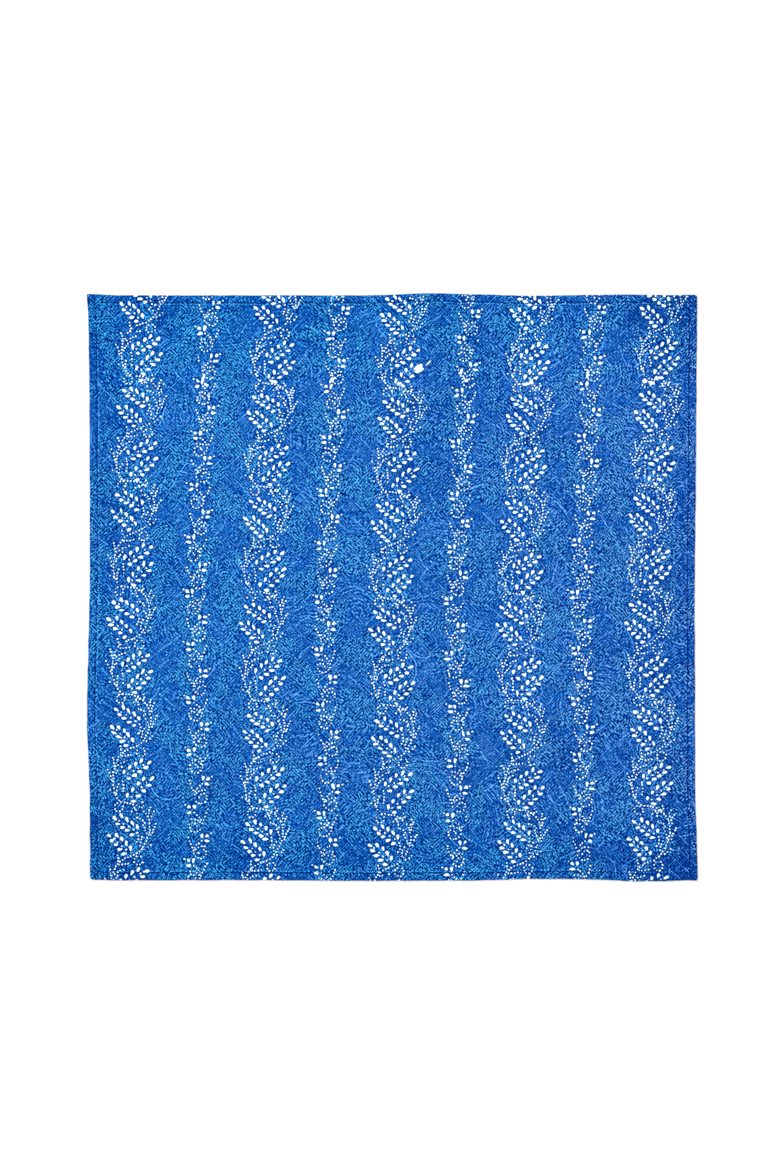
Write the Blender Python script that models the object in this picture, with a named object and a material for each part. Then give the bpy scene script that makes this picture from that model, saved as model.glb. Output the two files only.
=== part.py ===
"""A hemmed cotton pocket square, lying flat and face up, in metres.

The origin is under the middle of the cloth, on the surface that it lies on.
+X runs along the longer side, +Y to the top edge and +Z up, out of the printed face.
The square is one piece of cloth: its hem is the same sheet turned under on all four sides.
"""

from math import hypot

import bmesh
import bpy
import numpy as np

# Driving dimensions
WIDTH = 0.420  # left edge to right edge, at the widest
LENGTH = 0.405  # bottom edge to top edge, at the longest
SHEET_THICKNESS = 0.0010
HEM_THICKNESS = 0.0016  # the turned cloth stands a little prouder than the single sheet
HEM_WIDTH = 0.0053
HEM_STEP = 0.0012  # the slope from the hem down to the single sheet
EDGE_ROUNDING = 0.0008  # the fold at the outer edge is round
CORNER_RADIUS = 0.0014
INNER_CELLS = 30  # cells between the hems, each way

# How far each edge lies inside the overall box, in millimetres.
# place runs from 0 to 1: from left to right, or from bottom to top.
EDGES = {
    "left": (
        # (place, inset)
        (0.00, 1.9),
        (0.14, 1.9),
        (0.19, 1.2),
        (0.25, 0.0),
        (0.33, 0.0),
        (0.40, 1.0),
        (0.52, 1.9),
        (0.82, 1.6),
        (1.00, 0.7),
    ),
    "right": (
        (0.00, 0.0),
        (0.03, 0.0),
        (0.08, 0.2),
        (0.14, 1.4),
        (0.26, 1.4),
        (0.48, 1.7),
        (0.74, 0.7),
        (1.00, 0.0),
    ),
    "bottom": (
        (0.00, 0.9),
        (0.27, 0.9),
        (0.47, 0.5),
        (0.62, 0.6),
        (0.73, 1.8),
        (0.80, 1.6),
        (0.92, 0.0),
        (1.00, 1.1),
    ),
    "top": (
        (0.00, 0.5),
        (0.05, 1.4),
        (0.45, 1.4),
        (0.57, 0.0),
        (0.73, 1.7),
        (0.86, 0.9),
        (1.00, 1.2),
    ),
}

# Soft creases, in millimetres from the middle of the cloth. A crease falls away over its reach.
CREASES = (
    # (from_x, from_y, to_x, to_y, reach, rise)
    (184.0, 171.0, 103.0, 99.0, 16.0, 0.50),
    (162.0, 178.0, 112.0, 134.0, 15.0, 0.35),
    (-186.0, -162.0, -104.0, -106.0, 20.0, 0.40),
)

CLOTH_BLUE = (0.021, 0.144, 0.479, 1.0)
CLOTH_ROUGHNESS = 0.85

MM = 0.001


def soft_step(t):
    """0 up to 1 with a level start and end."""
    return t * t * (3.0 - 2.0 * t)


def edge_inset(side, place):
    """How far this edge lies inside the overall box at a place along it, in metres."""
    rows = EDGES[side]
    for (start, inset), (end, next_inset) in zip(rows, rows[1:]):
        if place <= end:
            share = soft_step((place - start) / (end - start))
            return (inset + (next_inset - inset) * share) * MM
    return rows[-1][1] * MM


def hem_profile():
    """Rows of (distance from the edge, height of the top face, height of the underside)."""
    fold_middle = HEM_THICKNESS / 2.0
    return (
        (0.0, fold_middle, fold_middle),
        (EDGE_ROUNDING * 0.3, HEM_THICKNESS * 0.88, HEM_THICKNESS * 0.12),
        (EDGE_ROUNDING, HEM_THICKNESS, 0.0),
        (HEM_WIDTH, HEM_THICKNESS, 0.0),
        (HEM_WIDTH + HEM_STEP, SHEET_THICKNESS, 0.0),
    )


def grid_lines(span):
    """The distances of one direction's grid lines from the left or bottom edge."""
    hem = [row[0] for row in hem_profile()]
    inner = np.linspace(hem[-1], span - hem[-1], INNER_CELLS + 1)
    return hem + list(inner[1:-1]) + [span - distance for distance in reversed(hem)]


def crease_height(x, y):
    """How far the creases lift the top face here."""
    height = 0.0
    for from_x, from_y, to_x, to_y, reach, rise in CREASES:
        run_x, run_y = to_x - from_x, to_y - from_y
        length = hypot(run_x, run_y)
        along = ((x / MM - from_x) * run_x + (y / MM - from_y) * run_y) / length**2
        nearest = min(max(along, 0.0), 1.0)
        away = hypot(x / MM - from_x - run_x * nearest, y / MM - from_y - run_y * nearest)
        if away < reach:
            height += rise * MM * soft_step(1.0 - away / reach)
    return height


def round_corner(across, along):
    """Moves a point of the square corner onto a round one. Both are distances from the edges."""
    a = 1.0 - across / CORNER_RADIUS
    b = 1.0 - along / CORNER_RADIUS
    if a <= 0.0 or b <= 0.0:
        return across, along
    shrink = max(a, b) / hypot(a, b)
    return CORNER_RADIUS * (1.0 - a * shrink), CORNER_RADIUS * (1.0 - b * shrink)


def place_on_cloth(left_distance, bottom_distance):
    """The x and y of a grid point, on the rounded and uneven outline."""
    from_left = left_distance <= WIDTH / 2.0
    from_bottom = bottom_distance <= LENGTH / 2.0
    across = left_distance if from_left else WIDTH - left_distance
    along = bottom_distance if from_bottom else LENGTH - bottom_distance
    across, along = round_corner(across, along)
    x = across if from_left else WIDTH - across
    y = along if from_bottom else LENGTH - along
    place_x, place_y = x / WIDTH, y / LENGTH
    left, right = edge_inset("left", place_y), edge_inset("right", place_y)
    bottom, top = edge_inset("bottom", place_x), edge_inset("top", place_x)
    return (
        x + left * (1.0 - place_x) - right * place_x - WIDTH / 2.0,
        y + bottom * (1.0 - place_y) - top * place_y - LENGTH / 2.0,
    )


def face_heights(distance):
    """The heights of the top face and the underside at a distance from the nearest edge."""
    distances, tops, undersides = zip(*hem_profile())
    return np.interp(distance, distances, tops), np.interp(distance, distances, undersides)


def build_cloth_mesh():
    """One closed sheet: a top and an underside that share the vertices of the outer edge."""
    columns, rows = grid_lines(WIDTH), grid_lines(LENGTH)
    last_column, last_row = len(columns) - 1, len(rows) - 1
    sheet = bmesh.new()
    top, under = {}, {}
    for i, left_distance in enumerate(columns):
        for j, bottom_distance in enumerate(rows):
            nearest = min(
                left_distance, WIDTH - left_distance, bottom_distance, LENGTH - bottom_distance
            )
            x, y = place_on_cloth(left_distance, bottom_distance)
            top_z, under_z = face_heights(nearest)
            top[i, j] = sheet.verts.new((x, y, top_z + crease_height(x, y)))
            if i in (0, last_column) or j in (0, last_row):
                under[i, j] = top[i, j]
            else:
                under[i, j] = sheet.verts.new((x, y, under_z))
    for i in range(last_column):
        for j in range(last_row):
            corners = ((i, j), (i + 1, j), (i + 1, j + 1), (i, j + 1))
            sheet.faces.new([top[corner] for corner in corners])
            sheet.faces.new([under[corner] for corner in reversed(corners)])
    bmesh.ops.triangulate(sheet, faces=sheet.faces)
    mesh = bpy.data.meshes.new("cloth")
    sheet.to_mesh(mesh)
    sheet.free()
    mesh.shade_smooth()
    return mesh


def cloth_material():
    """Dyed cotton: one matt blue."""
    material = bpy.data.materials.new("blue_cotton")
    material.use_nodes = True
    shader = material.node_tree.nodes["Principled BSDF"]
    shader.inputs["Base Color"].default_value = CLOTH_BLUE
    shader.inputs["Roughness"].default_value = CLOTH_ROUGHNESS
    shader.inputs["Metallic"].default_value = 0.0
    material.diffuse_color = CLOTH_BLUE
    return material


def main():
    for leftover in list(bpy.data.objects):
        bpy.data.objects.remove(leftover)
    cloth = bpy.data.objects.new("cloth", build_cloth_mesh())
    cloth.data.materials.append(cloth_material())
    bpy.context.scene.collection.objects.link(cloth)


main()
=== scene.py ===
"""The looks of the pocket square: a hemmed, resist-printed blue cotton cloth lying flat.

The cloth is one closed sheet whose outline comes from the CAD cloth. Its print is charted here, as
leaf sprigs and dotted vines, and each face carries the places of the motifs that reach it, so that
the material can draw them sharply. Lengths are in millimetres until they become a mesh.
"""

import math

import bpy
import numpy as np
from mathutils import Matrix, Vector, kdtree


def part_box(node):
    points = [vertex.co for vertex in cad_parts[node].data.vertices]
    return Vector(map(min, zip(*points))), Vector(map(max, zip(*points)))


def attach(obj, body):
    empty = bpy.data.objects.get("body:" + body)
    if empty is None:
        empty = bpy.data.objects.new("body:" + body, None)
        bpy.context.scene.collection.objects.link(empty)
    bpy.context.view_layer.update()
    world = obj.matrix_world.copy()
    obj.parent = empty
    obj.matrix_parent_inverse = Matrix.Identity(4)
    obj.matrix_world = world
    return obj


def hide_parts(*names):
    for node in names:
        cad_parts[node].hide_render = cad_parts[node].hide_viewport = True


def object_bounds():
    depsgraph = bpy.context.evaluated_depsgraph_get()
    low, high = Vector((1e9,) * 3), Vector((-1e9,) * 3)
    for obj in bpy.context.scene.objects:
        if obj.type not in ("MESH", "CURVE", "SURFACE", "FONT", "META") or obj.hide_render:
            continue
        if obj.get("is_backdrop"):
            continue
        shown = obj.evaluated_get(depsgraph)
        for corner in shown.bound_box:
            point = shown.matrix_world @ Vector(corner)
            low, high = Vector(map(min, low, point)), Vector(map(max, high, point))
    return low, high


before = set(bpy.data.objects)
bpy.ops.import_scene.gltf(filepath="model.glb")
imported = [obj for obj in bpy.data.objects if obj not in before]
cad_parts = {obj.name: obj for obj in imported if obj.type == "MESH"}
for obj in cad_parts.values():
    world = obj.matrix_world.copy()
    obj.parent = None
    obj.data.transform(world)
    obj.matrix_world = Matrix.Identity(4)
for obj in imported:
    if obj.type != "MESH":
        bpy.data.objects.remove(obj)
cad_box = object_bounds()

MM = 0.001
LOW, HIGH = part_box("cloth")
WIDTH, LENGTH = (HIGH.x - LOW.x) / MM, (HIGH.y - LOW.y) / MM

# The cloth and its hem, in millimetres
HEM_WIDTH = 5.3
SEAM = 5.2  # from the outer fold to the stitches
STITCH_PITCH = 3.4
STITCH_SIDES, STITCH_RINGS = 6, 5  # a stitch's mesh, round and along
CELL = 2.05  # size of the sheet's cells between the hems
CORNER_RADIUS = 1.5
CORNER_RISE = 0.30  # hems that cross at a corner are thicker

# The front across the hem and inwards: distance from the outer fold, height of the surface
FRONT_PROFILE = (
    (0.0, 0.56),
    (0.12, 0.92),
    (0.35, 1.10),
    (0.8, 1.18),
    (1.7, 1.20),
    (2.8, 1.19),
    (3.8, 1.16),
    (4.7, 1.10),
    (5.2, 0.94),
    (5.6, 1.02),
    (6.0, 0.98),
    (6.8, 0.86),
    (8.2, 0.70),
    (11.0, 0.53),
    (15.0, 0.43),
    (20.0, 0.39),
)
# The back: flat under the hem, a step where the turning ends, then the underside of one layer
BACK_PROFILE = (
    (0.0, 0.56),
    (0.12, 0.20),
    (0.35, 0.04),
    (0.8, 0.0),
    (5.2, 0.0),
    (5.6, 0.58),
    (6.8, 0.45),
    (8.2, 0.31),
    (11.0, 0.14),
    (15.0, 0.04),
    (20.0, 0.0),
)

# Corners that stick out of the outline, as fractions of the half sides and in millimetres
CORNER_PULLS = (
    # (side_x, side_y, pulled_x, pulled_y, reach)
    (-1.0, 1.0, -1.0, 0.2, 10.0),
    (1.0, -1.0, 0.4, -0.3, 9.0),
)

# The lying cloth's swells and soft creases, in millimetres from its middle
SWELLS = (
    # (rise, wavelength, seed)
    (0.22, 95.0, 11),
    (0.07, 34.0, 12),
)
CREASES = (
    # (from_x, from_y, to_x, to_y, reach, rise)
    (190.0, 176.0, 103.0, 99.0, 9.0, 0.75),
    (166.0, 180.0, 108.0, 128.0, 8.0, 0.45),
    (196.0, 150.0, 128.0, 84.0, 10.0, 0.40),
    (-196.0, -170.0, -104.0, -106.0, 14.0, 0.70),
    (-178.0, -190.0, -120.0, -150.0, 10.0, 0.35),
)

# The print. Every column is in millimetres: across from a stripe's middle, down from the top of
# its repeat. A slope or an angle is in degrees, anticlockwise from +X.
REPEAT = 73.1
STRIPES = (
    # (kind, across from the cloth's middle, down from the top edge to the first repeat)
    ("wide", -176.5, -9.1),
    ("narrow", -128.7, -30.8),
    ("wide", -85.3, -5.0),
    ("narrow", -39.1, -26.6),
    ("wide", 3.0, -1.4),
    ("narrow", 50.2, -24.6),
    ("wide", 91.5, -3.9),
    ("narrow", 136.5, -28.8),
    ("wide", 180.3, -6.1),
)
# The hand-laid stencil wanders on its way down the cloth
DRIFT = (
    # (down, added across, added down)
    (0.0, 4.0, 1.2),
    (40.0, 2.0, 0.4),
    (80.0, 1.0, -0.8),
    (115.0, -1.2, -1.3),
    (150.0, -2.9, -1.7),
    (190.0, -4.6, -1.8),
    (222.0, -6.0, -1.8),
    (260.0, -4.8, -1.3),
    (300.0, -3.5, -0.6),
    (340.0, -3.7, 0.0),
    (405.0, -5.9, 1.9),
)
SPRIGS = (
    # (tip across, tip down, slope of its stalk, stretch, side the tip points to)
    (-9.4, 3.8, 28.5, 1.0, -1),
    (-12.5, 15.6, 39.5, 1.0, -1),
    (13.2, 40.5, 28.5, 1.08, 1),
    (14.9, 51.6, 40.5, 1.12, 1),
)
WIDE_STEM = (
    # (across, down), through one repeat
    (13.4, 2.6),
    (14.7, 7.6),
    (14.9, 12.4),
    (13.5, 17.0),
    (11.6, 21.6),
    (8.4, 26.2),
    (4.0, 29.2),
    (-1.0, 31.0),
    (-5.4, 33.9),
    (-8.8, 39.0),
    (-10.9, 45.6),
    (-11.7, 51.6),
    (-10.9, 57.6),
    (-8.8, 62.6),
    (-5.4, 66.0),
    (0.3, 66.9),
    (5.4, 68.0),
    (9.4, 71.0),
)
WIDE_TWIGS = (
    # (from across, from down, to across, to down, bow to the left of the way)
    (6.3, 3.4, 11.4, 6.4, 0.9),
    (17.3, -0.9, 15.6, 4.4, -0.5),
    (19.2, 7.6, 16.0, 14.8, -0.4),
    (10.4, 7.8, 13.0, 13.8, 0.3),
    (7.2, 13.4, 6.4, 19.6, 0.9),
    (10.4, 16.2, 9.0, 22.4, -0.6),
    (15.9, 21.6, 11.8, 25.0, 0.3),
    (-6.6, 29.2, -6.0, 33.4, 0.2),
    (1.0, 35.0, -5.4, 35.6, 0.4),
    (-2.0, 39.2, -8.0, 41.9, -0.4),
    (-12.0, 36.8, -11.0, 42.6, 0.3),
    (-5.8, 43.2, -10.2, 49.2, -0.6),
    (-15.2, 45.0, -12.8, 52.0, 0.5),
    (-5.0, 51.0, -4.5, 59.4, 0.5),
    (-7.8, 54.8, -8.9, 60.8, -0.4),
    (-13.4, 59.0, -10.6, 60.2, 0.0),
    (9.4, 66.4, 10.2, 68.4, 0.0),
    (4.4, 69.6, 6.0, 73.4, 0.3),
    (2.6, 71.8, 9.0, 69.4, 0.6),
    (15.2, 69.8, 14.3, 73.6, -0.4),
)
WIDE_RINGS = (
    # (across, down, radius, first angle, turn)
    (7.9, 33.0, 3.0, 120.0, 300.0),
    (-6.7, 69.6, 2.9, 70.0, 310.0),
)
# The narrow stripe's cell, twice in a repeat: this half, and its mirror image further down
NARROW_CELL = REPEAT / 2.0
NARROW_MIRROR = -0.9  # the mirror's place across
NARROW_FALL = 18.0  # from the one half down to the other
NARROW_LEAVES = (
    # (across, down, length, width, angle)
    (1.7, 0.0, 3.3, 1.75, 92.0),
    (5.3, -0.2, 2.4, 1.8, 30.0),
    (5.1, 3.5, 3.4, 1.75, 176.0),
    (8.0, -1.5, 1.1, 0.9, 0.0),
)
NARROW_STEM = (
    # (across, down)
    (1.4, 3.5),
    (-1.5, 5.8),
    (-3.3, 8.6),
    (-3.8, 11.4),
    (-2.9, 13.8),
    (-0.8, 15.5),
    (1.5, 15.9),
    (3.7, 14.8),
    (4.9, 12.5),
    (4.5, 10.4),
    (2.7, 9.6),
    (0.7, 10.5),
    (-0.3, 12.0),
)
NARROW_TWIGS = (
    # (columns as in WIDE_TWIGS)
    (3.6, 7.3, -2.4, 9.6, -0.9),
    (-7.4, 1.4, -4.6, 7.9, -0.4),
)
# Where the paste ran: across and down from the cloth's top left corner
BLOTS = (
    # (across, down, half length, half width, angle)
    (228.6, 51.7, 2.75, 2.7, 0.0),
    (235.2, 47.6, 1.9, 0.5, 47.0),
    (384.0, 60.4, 1.9, 1.2, 20.0),
    (388.6, 61.6, 2.1, 1.3, -15.0),
    (391.6, 58.6, 1.4, 0.9, 60.0),
    (302.4, 62.6, 2.2, 1.0, 10.0),
    (306.0, 60.4, 1.2, 1.0, 70.0),
    (79.8, 58.2, 2.4, 0.8, 65.0),
    (82.0, 63.0, 1.5, 0.9, -30.0),
    (37.0, 60.0, 1.8, 0.9, 30.0),
    (128.0, 60.8, 2.0, 1.0, -20.0),
    (168.6, 59.6, 2.2, 1.0, 50.0),
    (214.6, 62.4, 1.7, 1.1, 15.0),
    (257.6, 54.0, 2.1, 0.8, 75.0),
    (261.0, 60.0, 1.4, 1.0, 10.0),
    (344.6, 56.6, 2.0, 0.9, 65.0),
)

DOT_PITCH = 2.15
DOT_RADIUS = 0.48
BERRY_RADIUS = 0.5
LEAF_LENGTH, LEAF_WIDTH = 3.25, 1.76
TIP_LENGTH, TIP_WIDTH = 3.35, 1.85
SPRIG_PAIRS = 4
SPRIG_START = 3.7  # from the tip along the stalk to the first pair of leaves and its berry
SPRIG_LEAVES = (
    # (step along the stalk, first off it, step off it, bend away, first angle, step of the angle)
    (4.35, 3.6, 0.35, -0.22, 65.0, 5.0),
    (4.1, -1.9, -0.38, 0.0, 6.0, -5.0),
)
BERRY_STEP, BERRY_OFF, BERRY_OFF_STEP = 3.85, 0.5, -0.12
MOTIF_SLOTS = 6  # how many motifs one face of the cloth can hold
FRINGE = 0.5  # how far the dye's light fringe reaches past a motif
FAR_AWAY = 9.0  # the place given to a face's empty motif slots
DOT, LEAF, BLOT = 0, 1, 2
KIND_STEP = 10.0  # a motif's kind and half width, in millimetres, travel as one number

# How far the hand-laid print strays. All but the last two lines are standard deviations.
REPEAT_STRAY = 0.35  # of a whole repeat, each way
MOTIF_STRAY = 0.17
MOTIF_TURN = 9.0  # degrees
DOT_GROWTH, LEAF_GROWTH = 0.18, 0.09  # as shares of the size
MISSED_DOTS = 0.03  # the share of dots that didn't print
STRETCH, STRETCH_SPAN = 0.55, 70.0  # how unevenly the cloth pulled the print, and over what length

# The woven figure that shows in the blue
PATCH_SCALE = 0.045  # patches of the figure to a millimetre
STROKE_PITCH = 1.8
RIB_PITCH = 1.35
ARC_PITCH = 2.3
FIGURE_SIZE = 42.0
THREAD_PITCH = 0.42

# Colours as they should look, 0 to 255, and the light that they stand under
BRIGHTNESS = 1.28  # how much brighter than display white the stage's light shows a pure white
BLUES = (
    # (tone, red, green, blue)
    (0.00, 0, 34, 112),
    (0.20, 0, 54, 147),
    (0.40, 0, 81, 175),
    (0.50, 6, 97, 190),
    (0.62, 20, 115, 207),
    (0.82, 46, 150, 240),
    (1.00, 100, 194, 255),
)
THREAD_BLUES = (
    (0.2, 0, 34, 96),
    (0.9, 10, 66, 142),
)
FRINGE_BLUE = (46, 160, 246)
STAIN_BLUE = (196, 222, 244)
PASTE_WHITE = (0.80, 0.97, 1.0, 1.0)  # a shader's colour, since it is brighter than a screen's


# --- Small helpers ---


def soft_step(t):
    """0 up to 1 with a level start and end."""
    t = np.clip(t, 0.0, 1.0)
    return t * t * (3.0 - 2.0 * t)


def soft_noise(x, y, wavelength, seed):
    """A smooth uneven field of about -1 to 1, from a few crossing waves."""
    chance = np.random.default_rng(seed)
    field = 0.0
    waves = 7
    for _ in range(waves):
        heading = chance.uniform(0.0, math.tau)
        length = wavelength * chance.uniform(0.7, 1.5)
        along = x * math.cos(heading) + y * math.sin(heading)
        field = field + np.sin(math.tau * along / length + chance.uniform(0.0, math.tau))
    return field / math.sqrt(waves)


# --- The sheet ---


def cad_edges():
    """How far each side of the CAD cloth lies inside its box: places and insets along the side."""
    half_fold, near, corner = 0.12, 4.0, 2.0
    points = np.array([v.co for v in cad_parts["cloth"].data.vertices]) / MM
    fold = points[np.abs(points[:, 2] - HIGH.z / MM / 2.0) < half_fold]
    half_width, half_length = WIDTH / 2.0, LENGTH / 2.0
    sides = {
        "left": (fold[:, 0] + half_width, fold[:, 1], half_length),
        "right": (half_width - fold[:, 0], fold[:, 1], half_length),
        "bottom": (fold[:, 1] + half_length, fold[:, 0], half_width),
        "top": (half_length - fold[:, 1], fold[:, 0], half_width),
    }
    edges = {}
    for side, (inset, place, half) in sides.items():
        kept = (inset < near) & (np.abs(place) < half - corner)
        order = np.argsort(place[kept])
        edges[side] = (place[kept][order], inset[kept][order])
    return edges


def edge_inset(edges, side, place, seed):
    """The side's inset here, with the small waver of a hand-turned hem."""
    places, insets = edges[side]
    spread = 6.0
    inset = sum(np.interp(place + step * spread, places, insets) for step in (-1, 0, 1)) / 3.0
    wavers = ((0.10, 22.0, seed), (0.05, 8.0, seed + 1))
    waver = sum(depth * soft_noise(place, 0.0, length, number) for depth, length, number in wavers)
    return inset + waver


def grid_lines(span):
    """Distances of the sheet's lines from one edge: close together over the hems."""
    hem = [row[0] for row in FRONT_PROFILE[:-1]]
    inner = span - 2.0 * hem[-1]
    cells = round(inner / CELL)
    middle = [hem[-1] + inner * i / cells for i in range(1, cells)]
    return np.array(hem + middle + [span - d for d in reversed(hem)])


def round_corners(across, along):
    """Moves points of the square corners onto round ones. Both are distances from the edges."""
    a, b = 1.0 - across / CORNER_RADIUS, 1.0 - along / CORNER_RADIUS
    inside = (a > 0.0) & (b > 0.0)
    shrink = np.where(inside, np.maximum(a, b) / np.maximum(np.hypot(a, b), 1e-9), 1.0)
    across = np.where(inside, CORNER_RADIUS * (1.0 - a * shrink), across)
    along = np.where(inside, CORNER_RADIUS * (1.0 - b * shrink), along)
    return across, along


def to_edges(left, bottom):
    """Distances from the nearest upright edge and from the nearest level edge."""
    return np.minimum(left, WIDTH - left), np.minimum(bottom, LENGTH - bottom)


def relief(x, y):
    """Height that the lying cloth's creases and swells add."""
    fade_in, fade_out = 5.0, 2.5
    height = sum(rise * (1.0 + soft_noise(x, y, length, seed)) for rise, length, seed in SWELLS)
    for from_x, from_y, to_x, to_y, reach, rise in CREASES:
        run_x, run_y = to_x - from_x, to_y - from_y
        length = math.hypot(run_x, run_y)
        along = np.clip(((x - from_x) * run_x + (y - from_y) * run_y) / length**2, 0.0, 1.0)
        away = np.hypot(x - from_x - run_x * along, y - from_y - run_y * along)
        fade = soft_step(along * fade_in) * soft_step((1.0 - along) * fade_out)
        height = height + rise * fade * np.exp(-((away / (0.5 * reach)) ** 2))
    return np.maximum(height, 0.0)


class Sheet:
    """The cloth's surface: where a point a given distance from the edges lies."""

    def __init__(self):
        self.edges = cad_edges()

    def place(self, left, bottom):
        """x and y for distances from the left and bottom edges of the plain rectangle."""
        from_left, from_bottom = left <= WIDTH / 2.0, bottom <= LENGTH / 2.0
        across = np.where(from_left, left, WIDTH - left)
        along = np.where(from_bottom, bottom, LENGTH - bottom)
        across, along = round_corners(across, along)
        x = np.where(from_left, across, WIDTH - across)
        y = np.where(from_bottom, along, LENGTH - along)
        share_x, share_y = x / WIDTH, y / LENGTH
        run_x, run_y = x - WIDTH / 2.0, y - LENGTH / 2.0
        left_inset = edge_inset(self.edges, "left", run_y, 21)
        right_inset = edge_inset(self.edges, "right", run_y, 23)
        bottom_inset = edge_inset(self.edges, "bottom", run_x, 25)
        top_inset = edge_inset(self.edges, "top", run_x, 27)
        placed_x = run_x + left_inset * (1.0 - share_x) - right_inset * share_x
        placed_y = run_y + bottom_inset * (1.0 - share_y) - top_inset * share_y
        for side_x, side_y, pulled_x, pulled_y, reach in CORNER_PULLS:
            away = np.hypot(run_x - side_x * WIDTH / 2.0, run_y - side_y * LENGTH / 2.0)
            share = np.exp(-((away / reach) ** 2))
            placed_x, placed_y = placed_x + pulled_x * share, placed_y + pulled_y * share
        return placed_x, placed_y

    def heights(self, left, bottom):
        """Heights of the front and the back for the same distances."""
        pucker_length, pucker_reach, pucker_depth = 10.0, 2.2, 0.10
        corner_reach, lift_reach, free_reach = 0.8, 2.0, 20.0  # how far in each is full
        hem_share = 0.25  # of a crease or swell, that the stiffer hem follows
        to_side, to_end = to_edges(left, bottom)
        distance = np.minimum(to_side, to_end)
        front = np.interp(distance, *zip(*FRONT_PROFILE))
        back = np.interp(distance, *zip(*BACK_PROFILE))
        corner = soft_step(HEM_WIDTH - np.maximum(to_side, to_end))
        front = front + CORNER_RISE * corner * soft_step(distance / corner_reach)
        x, y = self.place(left, bottom)
        pucker = 0.5 + 0.5 * soft_noise(x, y, pucker_length, 31)
        on_hem = np.exp(-(((distance - SEAM) / pucker_reach) ** 2))
        front = front - pucker_depth * pucker * on_hem
        inner = soft_step((distance - HEM_WIDTH) / free_reach)
        lift = relief(x, y) * (hem_share + (1.0 - hem_share) * inner)
        raised = soft_step(distance / lift_reach)
        return front + lift * raised, back + np.where(distance > HEM_WIDTH, lift, 0.0)


def sheet_faces(columns, rows):
    """Vertex numbers of the front's and the back's faces, which share the outer fold's vertices."""
    front = np.arange(columns * rows).reshape(columns, rows)
    back = front.copy()
    inner = (columns - 2) * (rows - 2)
    back[1:-1, 1:-1] = columns * rows + np.arange(inner).reshape(columns - 2, rows - 2)

    def quads(grid):
        corners = (grid[:-1, :-1], grid[1:, :-1], grid[1:, 1:], grid[:-1, 1:])
        return np.stack(corners, axis=-1).reshape(-1, 4)

    return quads(front), quads(back)[:, ::-1]


def build_sheet(sheet):
    """The closed mesh, each face corner's place on the unfolded cloth, and how far in it lies."""
    across, along = grid_lines(WIDTH), grid_lines(LENGTH)
    left, bottom = np.meshgrid(across, along, indexing="ij")
    x, y = sheet.place(left, bottom)
    front_z, back_z = sheet.heights(left, bottom)
    front_points = np.stack((x, y, front_z), axis=-1)
    back_points = np.stack((x, y, back_z), axis=-1)[1:-1, 1:-1]
    points = np.concatenate((front_points.reshape(-1, 3), back_points.reshape(-1, 3)))
    front, back = sheet_faces(len(across), len(along))
    faces = np.concatenate((front, back))

    mesh = bpy.data.meshes.new("cloth_sheet")
    mesh.from_pydata((points * MM).tolist(), [], faces.tolist())
    mesh.shade_smooth()

    distances = np.stack(to_edges(left, bottom), axis=-1)
    distances = np.concatenate((distances.reshape(-1, 2), distances[1:-1, 1:-1].reshape(-1, 2)))
    hem_place = distances[faces]

    # The turned hem shows the cloth's own face, so on the back its place runs on past the fold
    place = points[faces][:, :, :2].copy()
    on_back = np.arange(len(faces)) >= len(front)
    for axis in (0, 1):
        away = hem_place[:, :, axis]
        turned = on_back & (away.max(axis=1) < HEM_WIDTH)
        place[turned, :, axis] += 2.0 * (away * np.sign(place[:, :, axis]))[turned]
    return mesh, place, hem_place


def write_corners(mesh, name, values):
    """Stores a vector for each face corner, with a z of 0 when there are only x and y."""
    vectors = np.zeros((*values.shape[:2], 3), np.float32)
    vectors[:, :, : values.shape[-1]] = values
    layer = mesh.attributes.new(name, "FLOAT_VECTOR", "CORNER")
    layer.data.foreach_set("vector", vectors.ravel())


# --- The print's chart ---


def smooth_path(points, closed_by=None):
    """A smooth curve through given points. closed_by is the step to the next repeat."""
    points = np.array(points, float)
    if closed_by is None:
        before, after = 2.0 * points[0] - points[1], 2.0 * points[-1] - points[-2]
        run = np.vstack((before, points, after))
    else:
        step = np.array(closed_by)
        run = np.vstack((points[-1] - step, points, points[0] + step, points[1] + step))
    stretches = 12
    steps = np.linspace(0.0, 1.0, stretches, endpoint=False)[:, None]
    curve = []
    for a, b, c, d in zip(run, run[1:], run[2:], run[3:]):
        bend, twist = 2.0 * a - 5.0 * b + 4.0 * c - d, 3.0 * b - a - 3.0 * c + d
        curve.append(0.5 * (2.0 * b + (c - a) * steps + bend * steps**2 + twist * steps**3))
    if closed_by is None:
        curve.append(points[-1:])
    return np.vstack(curve)


def dots_along(path):
    """Evenly spaced points on a path, as near to the dots' pitch as its length allows."""
    lengths = np.concatenate(((0.0,), np.cumsum(np.hypot(*np.diff(path, axis=0).T))))
    count = max(round(lengths[-1] / DOT_PITCH), 1) + 1
    stops = np.linspace(0.0, lengths[-1], count)
    return np.stack([np.interp(stops, lengths, path[:, i]) for i in (0, 1)], axis=1)


def bowed(from_across, from_down, to_across, to_down, bow):
    """A short path that bends to one side."""
    run = np.array((to_across - from_across, to_down - from_down))
    side = np.array((run[1], -run[0])) / np.hypot(*run)
    middle = np.array((from_across, from_down)) + run / 2.0 + side * bow
    return smooth_path(((from_across, from_down), middle, (to_across, to_down)))


def dot(across, down, radius=DOT_RADIUS):
    """A round motif as a row: across, down, half length, half width, angle, kind."""
    return (across, down, radius, radius, 0.0, DOT)


def leaf(across, down, length, width, angle):
    """A leaf as such a row, for its whole length and width."""
    return (across, down, length / 2.0, width / 2.0, angle, LEAF)


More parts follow.
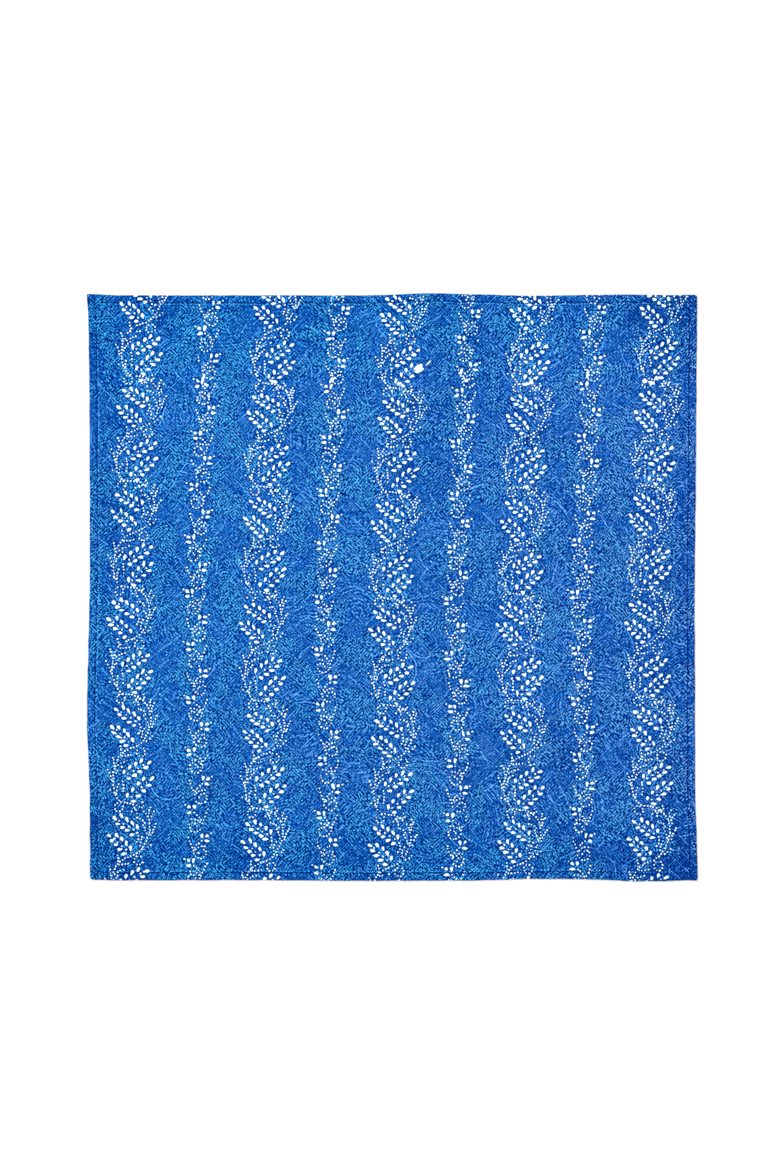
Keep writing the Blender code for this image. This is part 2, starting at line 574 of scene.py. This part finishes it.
def sprig(tip_across, tip_down, slope, stretch, side):
    """One leaf at the tip, then pairs of leaves along a stalk of berries."""
    turn = math.radians(slope)
    stalk = np.array((-side * math.cos(turn), math.sin(turn)))
    upwards = np.array((-side * stalk[1], side * stalk[0]))
    tip = np.array((tip_across, tip_down))

    def on_stalk(along, off):
        return tuple(tip + stalk * along + upwards * off)

    def towards_tip(angle):
        return angle if side > 0 else 180.0 - angle

    motifs = [leaf(tip_across, tip_down, TIP_LENGTH, TIP_WIDTH, towards_tip(slope - 4.0))]
    for i in range(SPRIG_PAIRS):
        for step, off, off_step, bend, angle, angle_step in SPRIG_LEAVES:
            place = on_stalk((SPRIG_START + step * i) * stretch, off + off_step * i + bend * i**2)
            lie = towards_tip(angle + angle_step * i)
            motifs.append(leaf(*place, LEAF_LENGTH, LEAF_WIDTH, lie))
        along = (SPRIG_START + BERRY_STEP * i) * stretch
        berry = on_stalk(along, BERRY_OFF + BERRY_OFF_STEP * i)
        motifs.append(dot(*berry, BERRY_RADIUS))
    return motifs


def wide_repeat():
    """One repeat of a wide stripe."""
    motifs = [motif for row in SPRIGS for motif in sprig(*row)]
    stem = dots_along(smooth_path(WIDE_STEM, closed_by=(0.0, REPEAT)))
    motifs += [dot(*point) for point in stem]
    for row in WIDE_TWIGS:
        motifs += [dot(*point) for point in dots_along(bowed(*row))]
    for across, down, radius, first, turn in WIDE_RINGS:
        count = round(math.radians(turn) * radius / DOT_PITCH) + 1
        for angle in np.radians(np.linspace(first, first + turn, count)):
            motifs.append(dot(across + radius * math.cos(angle), down - radius * math.sin(angle)))
    return motifs


def mirrored(motif):
    """The narrow stripe's motif in the other half of its cell."""
    across, down, half_length, half_width, angle, kind = motif
    place = (2.0 * NARROW_MIRROR - across, down + NARROW_FALL)
    return (*place, half_length, half_width, 180.0 - angle, kind)


def narrow_repeat():
    """One repeat of a narrow stripe: two cells, each with its mirrored half."""
    half = [leaf(*row) for row in NARROW_LEAVES]
    half += [dot(*point) for point in dots_along(smooth_path(NARROW_STEM))]
    for row in NARROW_TWIGS:
        half += [dot(*point) for point in dots_along(bowed(*row))]
    cell = half + [mirrored(motif) for motif in half]
    return [
        (across, down + shift, *rest)
        for shift in (0.0, NARROW_CELL)
        for across, down, *rest in cell
    ]


def print_chart():
    """Every motif of the cloth as a row: x, y, half length, half width, angle in radians, kind."""
    chance = np.random.default_rng(5)
    repeats = {"wide": wide_repeat(), "narrow": narrow_repeat()}
    wander = np.array(DRIFT).T
    rows = []
    margin = 12.0
    for kind, middle, first in STRIPES:
        down_start = first
        while down_start < LENGTH + margin:
            shift = chance.normal(0.0, REPEAT_STRAY, 2)
            for across, down, half_length, half_width, angle, shape in repeats[kind]:
                below = down_start + down
                aside = np.interp(below, wander[0], wander[1]) + shift[0]
                below += np.interp(below, wander[0], wander[2]) + shift[1]
                wobble = chance.normal(0.0, MOTIF_STRAY, 2)
                grow = chance.normal(1.0, DOT_GROWTH if shape == DOT else LEAF_GROWTH, 2)
                turn = chance.normal(0.0, MOTIF_TURN)
                luck = chance.random()
                if shape == DOT and luck < MISSED_DOTS:
                    continue
                x, y = middle + across + aside, LENGTH / 2.0 - below
                x += wobble[0] + STRETCH * soft_noise(x, y, STRETCH_SPAN, 41)
                y += wobble[1] + STRETCH * soft_noise(x, y, STRETCH_SPAN, 42)
                halves = (half_length * grow[0], half_width * grow[1])
                rows.append((x, y, *halves, math.radians(angle + turn), shape))
            down_start += REPEAT
    for across, down, half_length, half_width, angle in BLOTS:
        place = (across - WIDTH / 2.0, LENGTH / 2.0 - down)
        rows.append((*place, half_length, half_width, math.radians(angle), BLOT))
    return np.array(rows)


def motifs_on_faces(place, chart):
    """The chart row of up to MOTIF_SLOTS motifs on each face, nearest first, or -1."""
    middles = place.mean(axis=1)
    spreads = np.hypot(*(place - middles[:, None]).transpose(2, 0, 1)).max(axis=1)
    tree = kdtree.KDTree(len(middles))
    for number, (x, y) in enumerate(middles):
        tree.insert((x, y, 0.0), number)
    tree.balance()
    found = [[] for _ in middles]
    widest = float(spreads.max())
    for row, (x, y, half_length, half_width, *_) in enumerate(chart):
        reach = max(half_length, half_width) + FRINGE
        for _, face, distance in tree.find_range((x, y, 0.0), reach + widest):
            if distance < reach + spreads[face]:
                found[face].append((distance - reach, row))
    slots = np.full((len(middles), MOTIF_SLOTS), -1)
    for face, motifs in enumerate(found):
        for slot, (_, row) in enumerate(sorted(motifs)[:MOTIF_SLOTS]):
            slots[face, slot] = row
    return slots


def write_motifs(mesh, place, chart, slots):
    """Gives each face corner its place in the frame of each of its motifs, with kind and width."""
    for slot in range(MOTIF_SLOTS):
        row = slots[:, slot]
        x, y, half_length, half_width, angle, kind = chart[row].T[:, :, None]
        away_x, away_y = place[:, :, 0] - x, place[:, :, 1] - y
        along = (away_x * np.cos(angle) + away_y * np.sin(angle)) / half_length
        off = (away_y * np.cos(angle) - away_x * np.sin(angle)) / half_width
        marks = np.broadcast_to(kind * KIND_STEP + half_width, along.shape)
        local = np.stack((along, off, marks), axis=-1)
        local[row < 0] = (FAR_AWAY, FAR_AWAY, 1.0)
        write_corners(mesh, f"motif_{slot}", local)


# --- Materials ---


def settle(node, inputs):
    """Sets a node's inputs by their names."""
    for name, value in inputs.items():
        node.inputs[name].default_value = value


class Nodes:
    """Short ways to add nodes to a material's or a group's tree."""

    def __init__(self, tree):
        self.tree = tree

    def add(self, kind, **settings):
        node = self.tree.nodes.new(kind)
        for name, value in settings.items():
            setattr(node, name, value)
        return node

    def feed(self, socket, value):
        if isinstance(value, bpy.types.NodeSocket):
            self.tree.links.new(value, socket)
        else:
            socket.default_value = value

    def feed_all(self, sockets, values):
        for socket, value in zip(sockets, values):
            self.feed(socket, value)

    def math(self, operation, *values):
        node = self.add("ShaderNodeMath", operation=operation)
        self.feed_all(node.inputs, values)
        return node.outputs[0]

    def vector(self, operation, *values):
        node = self.add("ShaderNodeVectorMath", operation=operation)
        self.feed_all(node.inputs, values)
        return node.outputs["Value" if operation == "LENGTH" else "Vector"]

    def times(self, a, b):
        return self.math("MULTIPLY", a, b)

    def wave(self, value, pitch, wander=0.0):
        """From -1 to 1 and back once in each pitch."""
        return self.math("SINE", self.math("MULTIPLY_ADD", value, math.tau / pitch, wander))

    def beat(self, value, pitch):
        """From -0.5 to 0.5, over and over, once in each pitch."""
        step = self.math("FRACT", self.math("DIVIDE", value, pitch))
        return self.math("SUBTRACT", step, 0.5)

    def total(self, first, *others):
        """The sum of two or more values."""
        for value in others:
            first = self.math("ADD", first, value)
        return first

    def scaled(self, vector, factor):
        node = self.add("ShaderNodeVectorMath", operation="SCALE")
        self.feed(node.inputs[0], vector)
        self.feed(node.inputs["Scale"], factor)
        return node.outputs["Vector"]

    def split(self, vector):
        node = self.add("ShaderNodeSeparateXYZ")
        self.feed(node.inputs[0], vector)
        return node.outputs

    def join(self, x, y):
        node = self.add("ShaderNodeCombineXYZ")
        self.feed_all(node.inputs, (x, y))
        return node.outputs[0]

    def attribute(self, name):
        return self.add("ShaderNodeAttribute", attribute_name=name).outputs["Vector"]

    def noise(self, vector, scale, detail=0.0, colour=False):
        """Smooth noise about 0.5. As a colour, it is three fields at once."""
        node = self.add("ShaderNodeTexNoise", noise_dimensions="2D")
        self.feed(node.inputs["Vector"], vector)
        settle(node, {"Scale": scale, "Detail": detail})
        return node.outputs["Color" if colour else "Fac"]

    def span(self, value, from_low, from_high, to_low=0.0, to_high=1.0, soft=True):
        """Moves a range of values onto another, held at its ends."""
        node = self.add("ShaderNodeMapRange")
        node.interpolation_type = "SMOOTHSTEP" if soft else "LINEAR"
        self.feed_all(node.inputs, (value, from_low, from_high, to_low, to_high))
        return node.outputs[0]

    def mix(self, share, a, b):
        node = self.add("ShaderNodeMix", data_type="FLOAT")
        self.feed_all((node.inputs[i] for i in (0, 2, 3)), (share, a, b))
        return node.outputs[0]

    def mix_colour(self, share, a, b, blend="MIX"):
        node = self.add("ShaderNodeMix", data_type="RGBA", blend_type=blend)
        self.feed_all((node.inputs[i] for i in (0, 6, 7)), (share, a, b))
        return node.outputs[2]

    def ramp(self, value, stops):
        node = self.add("ShaderNodeValToRGB")
        elements = node.color_ramp.elements
        while len(elements) < len(stops):
            elements.new(0.5)
        for element, (place, colour) in zip(elements, stops):
            element.position = place
            element.color = colour
        self.feed(node.inputs[0], value)
        return node.outputs[0]


def dye(red, green, blue):
    """A colour as it should look under the stage's light, 0 to 255, as a shader's linear colour."""
    shares = (channel / 255.0 for channel in (red, green, blue))
    linear = (s / 12.92 if s <= 0.04045 else ((s + 0.055) / 1.055) ** 2.4 for s in shares)
    return (*(share / BRIGHTNESS for share in linear), 1.0)


def motif_group():
    """How far outside a motif's outline a point lies, in millimetres."""
    tree = bpy.data.node_groups.new("motif_distance", "ShaderNodeTree")
    tree.interface.new_socket("Local", in_out="INPUT", socket_type="NodeSocketVector")
    tree.interface.new_socket("Waver", in_out="INPUT", socket_type="NodeSocketFloat")
    tree.interface.new_socket("Distance", in_out="OUTPUT", socket_type="NodeSocketFloat")
    blunt_end, least = 0.34, 0.4
    raggedness, blots_more = 0.8, 0.9
    nodes = Nodes(tree)
    entry, leave = nodes.add("NodeGroupInput"), nodes.add("NodeGroupOutput")
    along, off, marks = nodes.split(entry.outputs["Local"])
    kind = nodes.math("FLOOR", nodes.math("DIVIDE", marks, KIND_STEP))
    half_width = nodes.math("MULTIPLY_ADD", kind, -KIND_STEP, marks)
    is_leaf = nodes.math("COMPARE", kind, LEAF, 0.1)
    is_blot = nodes.math("COMPARE", kind, BLOT, 0.1)
    # A leaf is fuller towards its free end
    fullness = nodes.math("MULTIPLY_ADD", nodes.times(along, is_leaf), blunt_end, 1.0)
    fullness = nodes.math("MAXIMUM", fullness, least)
    radius = nodes.vector("LENGTH", nodes.join(along, nodes.math("DIVIDE", off, fullness)))
    distance = nodes.times(nodes.math("SUBTRACT", radius, 1.0), half_width)
    depth = nodes.math("MULTIPLY_ADD", is_blot, blots_more, raggedness)
    ragged = nodes.math("MULTIPLY_ADD", entry.outputs["Waver"], depth, distance)
    nodes.feed(leave.inputs["Distance"], ragged)
    return tree


def print_distance(nodes, place):
    """How far outside the nearest motif's outline a point lies, in millimetres."""
    waver_scale = 0.9
    waver = nodes.math("SUBTRACT", nodes.noise(place, waver_scale, 1.0), 0.5)
    group = motif_group()
    nearest = None
    for slot in range(MOTIF_SLOTS):
        motif = nodes.add("ShaderNodeGroup", node_tree=group)
        nodes.feed(motif.inputs["Local"], nodes.attribute(f"motif_{slot}"))
        nodes.feed(motif.inputs["Waver"], waver)
        distance = motif.outputs["Distance"]
        nearest = distance if nearest is None else nodes.math("MINIMUM", nearest, distance)
    return nearest


def diagonals(nodes, place):
    """How far along the rising diagonal and along the falling one a point lies."""
    x, y, _ = nodes.split(place)
    rising = nodes.times(nodes.math("ADD", x, y), math.sqrt(0.5))
    falling = nodes.times(nodes.math("SUBTRACT", x, y), math.sqrt(0.5))
    return rising, falling


def patches(nodes, place):
    """Three slow fields that say where each part of the figure shows."""
    return nodes.split(nodes.noise(place, PATCH_SCALE, 1.0, colour=True))


def strokes(nodes, along, across, waver):
    """Light and dark specks and waves, about -2 to 2, that run along one diagonal."""
    slender, speck_scale, speck_depth = 0.24, 2.1, 4.9
    wandering, break_scale, weakest, strongest = 2.8, 0.5, 0.1, 0.95
    specks = nodes.noise(nodes.join(nodes.times(along, slender), across), speck_scale)
    specks = nodes.times(nodes.math("SUBTRACT", specks, 0.5), speck_depth)
    wave = nodes.wave(across, STROKE_PITCH, nodes.times(waver, wandering))
    breaks = nodes.noise(nodes.join(along, across), break_scale)
    strength = nodes.span(breaks, 0.42, 0.58, weakest, strongest)
    return nodes.math("MULTIPLY_ADD", wave, strength, specks)


def leaning_strokes(nodes, place, ways, wavers, patch):
    """Strokes that lean one way or the other, stronger in busy patches, on a cloudy base."""
    lean_scale, cluster_depth = 0.10, 0.2
    busy_strength, calm_strength = 0.83, 0.32
    cloud_scale, cloud_depth, middle_tone = 0.11, 0.16, 0.267
    rising, falling = ways
    waver_x, waver_y, waver_z = wavers
    leans_left = nodes.span(nodes.noise(place, lean_scale, 1.0), 0.46, 0.54)
    lean_right = strokes(nodes, rising, falling, waver_x)
    lean_left = strokes(nodes, falling, rising, waver_y)
    texture = nodes.mix(leans_left, lean_right, lean_left)
    cluster = nodes.math("SUBTRACT", waver_z, 0.5)
    texture = nodes.math("MULTIPLY_ADD", cluster, cluster_depth, texture)
    strength = nodes.span(patch, 0.40, 0.58, busy_strength, calm_strength)
    cloudy = nodes.math("SUBTRACT", nodes.noise(place, cloud_scale, 1.0), 0.5)
    base = nodes.math("MULTIPLY_ADD", cloudy, cloud_depth, middle_tone)
    return nodes.math("MULTIPLY_ADD", texture, strength, base)


def calm_ribs(nodes, place, patch):
    """A fine straight rib, and a lighter tone, in the calm patches."""
    depth, lighter = 0.26, 0.125
    calm = nodes.span(patch, 0.46, 0.60)
    _, straight = diagonals(nodes, place)
    rib = nodes.wave(straight, RIB_PITCH)
    return nodes.times(calm, nodes.math("MULTIPLY_ADD", rib, depth, lighter))


def bundled_arcs(nodes, ring, waver, patch):
    """Bundles of arcs round scattered middles, from how far away the nearest middle is."""
    wandering, depth = 8.0, 0.22
    wave = nodes.wave(ring, ARC_PITCH, nodes.times(waver, wandering))
    return nodes.times(wave, nodes.span(patch, 0.44, 0.60, 0.0, depth))


def thin_lines(nodes, across, gap):
    """1 on lines that lie a gap apart, 0 between them."""
    core, edge = 0.135, 0.45
    away = nodes.math("ABSOLUTE", nodes.beat(across, gap))
    return nodes.span(away, core / gap, edge / gap, 1.0, 0.0)


def long_lines(nodes, place, ways, ring, waver, patch_x, patch_z):
    """Long thin light lines that follow the figure, each kind in its own patches."""
    shift_scale, shift_reach = 0.016, 26.0
    weakest, strongest = 0.15, 0.6
    rising, falling = ways
    shift = nodes.scaled(nodes.noise(place, shift_scale, 1.0, colour=True), shift_reach)
    shift_x, shift_y, _ = nodes.split(shift)
    families = (
        # (distance across the lines, the gap between them, where they show)
        (nodes.math("ADD", falling, shift_x), 7.5, nodes.span(patch_z, 0.50, 0.58)),
        (nodes.math("ADD", rising, shift_y), 8.5, nodes.span(patch_z, 0.50, 0.42)),
        (ring, 6.0, nodes.span(patch_x, 0.52, 0.60)),
    )
    lines = [nodes.times(thin_lines(nodes, across, gap), shown) for across, gap, shown in families]
    strength = nodes.span(waver, 0.38, 0.52, weakest, strongest)
    return nodes.times(nodes.total(*lines), strength)


def ground_tone(nodes, place):
    """The woven figure's tone from 0, dark, to 1, light: strokes, ribs, arcs and long lines."""
    sway_reach, waver_scale = 3.5, 0.24
    sway = nodes.scaled(nodes.noise(place, PATCH_SCALE, 1.0, colour=True), sway_reach)
    bent = nodes.vector("ADD", place, sway)
    ways = diagonals(nodes, bent)
    wavers = nodes.split(nodes.noise(nodes.join(*ways), waver_scale, 1.0, colour=True))
    waver_x, waver_y, _ = wavers
    patch_x, patch_y, patch_z = patches(nodes, place)
    cells = nodes.add("ShaderNodeTexVoronoi", voronoi_dimensions="2D", feature="F1")
    nodes.feed(cells.inputs["Vector"], bent)
    settle(cells, {"Scale": 1.0 / FIGURE_SIZE})
    ring = nodes.times(cells.outputs["Distance"], FIGURE_SIZE)
    return nodes.total(
        leaning_strokes(nodes, place, ways, wavers, patch_y),
        calm_ribs(nodes, place, patch_y),
        bundled_arcs(nodes, ring, waver_x, patch_x),
        long_lines(nodes, place, ways, ring, waver_y, patch_x, patch_z),
    )


def drift_of_tone(nodes, place):
    """Slow changes over the whole cloth: darker low down and on the right, and painted shade at the
    corners.
    """
    slow_scale, slow_depth = 0.012, 0.16
    slow = nodes.math("SUBTRACT", nodes.noise(place, slow_scale, 2.0), 0.5)
    x, y, _ = nodes.split(place)
    low = nodes.span(y, -LENGTH / 2.0, -LENGTH / 4.0, -0.04, 0.0)
    right = nodes.span(x, 150.0, WIDTH / 2.0, 0.0, -0.02)
    # Painted shade at the corners: near a corner both x and y are large
    corner = nodes.math("ABSOLUTE", nodes.times(x, y))
    corner = nodes.span(corner, 24000.0, 41000.0, 0.0, -0.13)
    return nodes.total(nodes.times(slow, slow_depth), low, corner, right)


def cast_of_blue(nodes, place):
    """What the blue is multiplied by: redder on the right, in the middle and in calm patches."""
    green_cast, violet_cast = (0.5, 1.06, 1.04, 1.0), (1.95, 0.95, 1.0, 1.0)
    speckle_scale, across_depth, rim_width = 1.4, 0.6, 16.0
    x, y, _ = nodes.split(place)
    _, patch, _ = patches(nodes, place)
    towards_violet = nodes.total(
        nodes.span(nodes.noise(place, speckle_scale), 0.3, 0.7, soft=False),
        nodes.times(x, across_depth / WIDTH),
        nodes.span(nodes.math("ABSOLUTE", y), 120.0, LENGTH / 2.0, 0.0, -0.4),
        nodes.span(patch, 0.42, 0.58, -0.2, 0.2),
        nodes.span(x, WIDTH / 2.0 - rim_width, WIDTH / 2.0, 0.0, 0.35),
    )
    return nodes.mix_colour(towards_violet, green_cast, violet_cast)


def hem_tone(nodes, place):
    """What the hem adds: painted shade in its groove and needle holes, a painted highlight on its
    ridge and a darker border.
    """
    # How far out each mark is full, and how far out it ends: from its middle, or from the edge
    groove_reach, ridge_reach, hole_reach = (0.15, 0.8), (0.1, 0.6), (0.25, 0.75)
    border_reach = (10.0, 48.0)
    ridge_offset = 1.0  # further in than the groove
    along_share = 0.6  # of a distance along the seam: the needle holes are longer than wide
    to_side, to_end, _ = nodes.split(nodes.attribute("hem_place"))
    x, y, _ = nodes.split(place)
    border = nodes.span(nodes.math("MINIMUM", to_side, to_end), *border_reach, 1.0, 0.0)
    groove_shades, ridge_highlights, holes = [], [], []
    for distance, along in ((to_side, y), (to_end, x)):
        off = nodes.math("ABSOLUTE", nodes.math("SUBTRACT", distance, SEAM))
        inner = nodes.math("ABSOLUTE", nodes.math("SUBTRACT", distance, SEAM + ridge_offset))
        beat = nodes.times(nodes.beat(along, STITCH_PITCH), along_share * STITCH_PITCH)
        spot = nodes.vector("LENGTH", nodes.join(off, beat))
        groove_shades.append(nodes.span(off, *groove_reach, 1.0, 0.0))
        ridge_highlights.append(nodes.span(inner, *ridge_reach, 1.0, 0.0))
        holes.append(nodes.span(spot, *hole_reach, 1.0, 0.0))
    # The ridge's painted highlight is weaker towards the right, where the ridge catches less light
    lit = nodes.span(x, WIDTH / 4.0, WIDTH / 2.0, 0.75, 0.3)
    # Painted shade along the groove, painted shadow in the needle holes, painted highlight on the
    # ridge
    marks = (
        # (how much of it shows, how much lighter it is)
        (nodes.math("MAXIMUM", *groove_shades), -0.14),
        (nodes.math("MAXIMUM", *holes), -0.8),
        (nodes.times(nodes.math("MAXIMUM", *ridge_highlights), lit), 0.45),
        (border, -0.055),
    )
    return nodes.total(*(nodes.times(shown, lighter) for shown, lighter in marks))


def weave_height(nodes, place):
    """The threads themselves, over and under, from 0 to 1."""
    waver_scale, waver_depth = 0.5, 2.2
    x, y, _ = nodes.split(place)
    waver = nodes.times(nodes.noise(place, waver_scale, 1.0), waver_depth)
    warp, weft = nodes.wave(x, THREAD_PITCH, waver), nodes.wave(y, THREAD_PITCH, waver)
    return nodes.math("MULTIPLY_ADD", nodes.times(warp, weft), 0.5, 0.5)


def add_relief(nodes, shader, height):
    """Bump for threads too fine for the mesh."""
    bump = nodes.add("ShaderNodeBump")
    settle(bump, {"Strength": 0.5, "Distance": 0.05 * MM})
    nodes.feed(bump.inputs["Height"], height)
    nodes.feed(shader.inputs["Normal"], bump.outputs[0])


def new_material(name):
    """A material, its nodes and its shader."""
    material = bpy.data.materials.new(name)
    material.use_nodes = True
    return material, Nodes(material.node_tree), material.node_tree.nodes["Principled BSDF"]


def blue_cloth(nodes, place, nearest, bled):
    """The ground's dyed tone and colour, with the painted shade and highlight of the hem and
    corners, and the dye that pooled round the motifs.
    """
    pool = nodes.span(nearest, 0.3, 1.3, nodes.mix(bled, -0.4, -0.16), 0.0)
    tone = nodes.total(
        ground_tone(nodes, place), drift_of_tone(nodes, place), hem_tone(nodes, place), pool
    )
    blue = nodes.ramp(tone, [(stop, dye(*colour)) for stop, *colour in BLUES])
    return tone, nodes.mix_colour(1.0, blue, cast_of_blue(nodes, place), "MULTIPLY")


def printed(nodes, blue, nearest, bled):
    """The ground with the white motifs on it, each with a light fringe and a stained rim."""
    fringe = nodes.span(nearest, 0.0, FRINGE, nodes.mix(bled, 0.2, 0.7), 0.0)
    ground = nodes.mix_colour(fringe, blue, dye(*FRINGE_BLUE))
    stain = nodes.span(nearest, -1.6, -0.3, 0.5, 0.0)
    paste = nodes.mix_colour(stain, PASTE_WHITE, dye(*STAIN_BLUE))
    white = nodes.span(nearest, -0.06, 0.06, 1.0, 0.0)
    return nodes.mix_colour(white, ground, paste)


def cotton_material():
    """Blue resist-dyed cotton with a woven figure and a white print."""
    material, nodes, shader = new_material("printed_cotton")
    bleed_scale = 0.8
    place = nodes.attribute("cloth_place")
    nearest = print_distance(nodes, place)
    bled = nodes.span(nodes.noise(place, bleed_scale), 0.40, 0.60)
    tone, blue = blue_cloth(nodes, place, nearest, bled)
    nodes.feed(shader.inputs["Base Color"], printed(nodes, blue, nearest, bled))
    nodes.feed(shader.inputs["Roughness"], nodes.span(tone, 0.0, 1.0, 0.86, 0.72))
    settle(shader, {"Specular IOR Level": 0.025, "Sheen Weight": 0.01, "Sheen Roughness": 0.55})
    add_relief(nodes, shader, weave_height(nodes, place))
    return material


def thread_material():
    """Dark blue sewing thread, with its twist."""
    material, nodes, shader = new_material("sewing_thread")
    twist_pitch, twist_depth, wear_scale = 0.28, 0.25, 2.0
    place = nodes.scaled(nodes.add("ShaderNodeTexCoord").outputs["Object"], 1.0 / MM)
    x, y, _ = nodes.split(place)
    twist = nodes.wave(nodes.math("ADD", x, y), twist_pitch)
    wear = nodes.noise(place, wear_scale, 2.0)
    tone = nodes.math("MULTIPLY_ADD", twist, twist_depth, wear)
    blue = nodes.ramp(tone, [(stop, dye(*colour)) for stop, *colour in THREAD_BLUES])
    nodes.feed(shader.inputs["Base Color"], blue)
    nodes.feed(shader.inputs["Roughness"], nodes.span(tone, 0.0, 1.0, 0.55, 0.75))
    settle(shader, {"Specular IOR Level": 0.05})
    add_relief(nodes, shader, twist)
    return material


# --- Stitches ---


def seam_runs():
    """For each side: where its stitches start, where its seam lies, and whether it is upright."""
    clear = 1.2
    runs = []
    for span, other, upright in ((WIDTH, LENGTH, False), (LENGTH, WIDTH, True)):
        count = int((span - 2.0 * clear) / STITCH_PITCH)
        first = (span - count * STITCH_PITCH) / 2.0
        starts = first + STITCH_PITCH * np.arange(count)
        runs += [(starts, seam, upright) for seam in (SEAM, other - SEAM)]
    return runs


def stitch_rings(sheet, start, seam, upright, chance):
    """Rings of points round one stitch, whose ends dive into the cloth."""
    radius, length, gap = 0.17, 2.75, 0.3
    rise, sink, taper, lean = 0.10, 0.30, 0.55, 0.1
    stray_along, stray_off = 0.06, 0.08
    share = np.linspace(0.0, 1.0, STITCH_RINGS)
    from_middle = 2.0 * share - 1.0
    dive = rise - sink * from_middle**4
    girth = radius * (1.0 - taper * from_middle**6)
    along = start + gap + share * length + chance.normal(0.0, stray_along)
    off = seam + chance.normal(0.0, stray_off) + np.linspace(-lean, lean, STITCH_RINGS)
    left, bottom = (off, along) if upright else (along, off)
    x, y = sheet.place(left, bottom)
    z = sheet.heights(left, bottom)[0] + dive
    for i in range(STITCH_RINGS):
        for k in range(STITCH_SIDES):
            angle = math.tau * k / STITCH_SIDES
            side, up = girth[i] * math.cos(angle), girth[i] * math.sin(angle)
            if upright:
                yield x[i] - side, y[i], z[i] + up
            else:
                yield x[i], y[i] + side, z[i] + up


def build_stitches(sheet):
    """The hem's stitches on the front, as one mesh of short capped tubes."""
    chance = np.random.default_rng(9)
    points, faces = [], []
    for starts, seam, upright in seam_runs():
        for start in starts:
            base = len(points)
            last = base + (STITCH_RINGS - 1) * STITCH_SIDES
            points += stitch_rings(sheet, start, seam, upright, chance)
            for ring in range(base, last, STITCH_SIDES):
                for k in range(STITCH_SIDES):
                    a, b = ring + k, ring + (k + 1) % STITCH_SIDES
                    faces.append((a, b, b + STITCH_SIDES, a + STITCH_SIDES))
            faces.append(tuple(reversed(range(base, base + STITCH_SIDES))))
            faces.append(tuple(range(last, last + STITCH_SIDES)))
    mesh = bpy.data.meshes.new("hem_stitches")
    mesh.from_pydata((np.array(points) * MM).tolist(), [], faces)
    mesh.shade_smooth()
    return mesh


# --- Pieces, stage, lights and camera ---


def add_object(name, data):
    thing = bpy.data.objects.new(name, data)
    bpy.context.scene.collection.objects.link(thing)
    return thing


def make_cloth(sheet):
    """The cloth, which stands in for the CAD cloth."""
    mesh, place, hem_place = build_sheet(sheet)
    write_corners(mesh, "cloth_place", place)
    write_corners(mesh, "hem_place", hem_place)
    chart = print_chart()
    write_motifs(mesh, place, chart, motifs_on_faces(place, chart))

    # The map keeps the whole unfolded cloth, with its turned hems, on one square
    margin = HEM_WIDTH + 3.0
    span = np.array((WIDTH, LENGTH)) + 2.0 * margin
    layer = mesh.uv_layers.new(name="OFBake")
    layer.uv.foreach_set("vector", (place / span + 0.5).astype(np.float32).ravel())

    mesh.materials.append(cotton_material())
    cloth = add_object("cloth_sheet", mesh)
    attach(cloth, "root")
    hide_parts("cloth")
    return cloth


def make_stitches(sheet):
    """The stitches, as a piece that goes with the cloth."""
    mesh = build_stitches(sheet)
    mesh.materials.append(thread_material())
    stitches = add_object("hem_stitches", mesh)
    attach(stitches, "root")
    return stitches


def make_floor():
    """A plain pale surface, a hair below the cloth."""
    half, grey, gap = 3.0, 0.81, 0.02 * MM
    mesh = bpy.data.meshes.new("floor")
    corners = [(-half, -half, 0.0), (half, -half, 0.0), (half, half, 0.0), (-half, half, 0.0)]
    mesh.from_pydata(corners, [], [(0, 1, 2, 3)])
    material, _, shader = new_material("pale_floor")
    looks = {"Base Color": (grey, grey, grey, 1.0), "Roughness": 0.9, "Specular IOR Level": 0.1}
    settle(shader, looks)
    mesh.materials.append(material)
    floor = add_object("floor", mesh)
    floor.location.z = -gap
    floor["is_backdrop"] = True


def make_lights():
    """Soft studio light from a broad key, a fill and an even surround."""
    lamps = (
        # (name, place in metres, size, power)
        ("key", (-1.1, 1.3, 1.9), 1.6, 57.0),
        ("fill", (1.5, -0.7, 1.8), 1.8, 22.0),
    )
    surround = 0.59
    for name, place, size, power in lamps:
        data = bpy.data.lights.new(name, "AREA")
        data.shape = "SQUARE"
        data.size = size
        data.energy = power
        lamp = add_object(name, data)
        lamp.location = place
        lamp.visible_camera = False
        # Each lamp faces the middle of the cloth
        lamp.rotation_euler = (-lamp.location).to_track_quat("-Z", "Y").to_euler()
    world = bpy.data.worlds.new("surround")
    world.use_nodes = True
    looks = {"Color": (1.0, 1.0, 1.0, 1.0), "Strength": surround}
    settle(world.node_tree.nodes["Background"], looks)
    bpy.context.scene.world = world


def make_camera():
    """Straight above the cloth and far off. The picture is picture_height metres high."""
    picture_height = 0.8093
    aside, above = -0.76 * MM, -0.1 * MM
    data = bpy.data.cameras.new("camera")
    data.sensor_width = 36.0
    data.lens = 200.0
    camera = add_object("camera", data)
    camera.location = (aside, above, picture_height * data.lens / data.sensor_width)
    bpy.context.scene.camera = camera


def main():
    bpy.context.scene.view_settings.view_transform = "Standard"
    make_camera()
    make_lights()
    make_floor()
    sheet = Sheet()
    cloth = make_cloth(sheet)
    stitches = make_stitches(sheet)


main()
visual_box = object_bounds()
boxes = {"cad": cad_box, "visual": visual_box}
{name: [list(corner) for corner in box] for name, box in boxes.items()}
